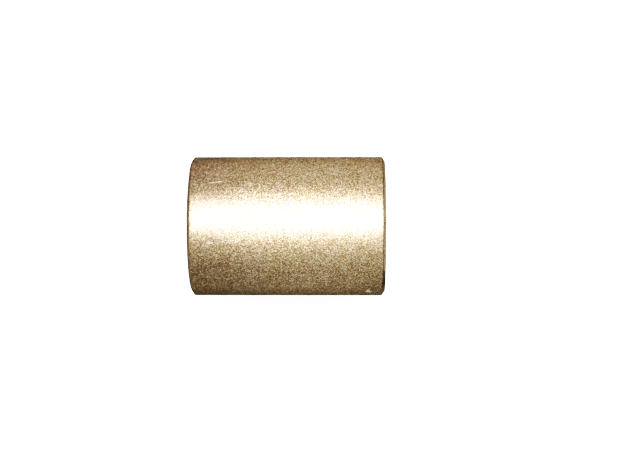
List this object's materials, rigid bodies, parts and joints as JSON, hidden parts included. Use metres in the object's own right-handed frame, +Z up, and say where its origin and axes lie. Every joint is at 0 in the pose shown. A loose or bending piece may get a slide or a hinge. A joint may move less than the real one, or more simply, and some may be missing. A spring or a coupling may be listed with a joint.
{
  "type": "plain sleeve bearing",
  "caption": "Plain cylindrical sleeve bushing of sintered bronze, with a straight bore and chamfered edges, pressed into a housing to carry a turning shaft.",
  "frame": {"origin": "on the bore's axis at mid-length, which is the centre of the sleeve", "axes": "+X along the bore, +Z up with the sleeve lying on its side; the sleeve is round about X, so Y and Z are alike"},
  "size_m": [0.025, 0.018, 0.018],
  "materials": {
    "sintered_bronze": "sintered and sized bronze, satin with a fine grain and open pores, slightly oily"
  },
  "bodies": {
    "root": {"sleeve": "sintered_bronze"}
  },
  "joints": []
}
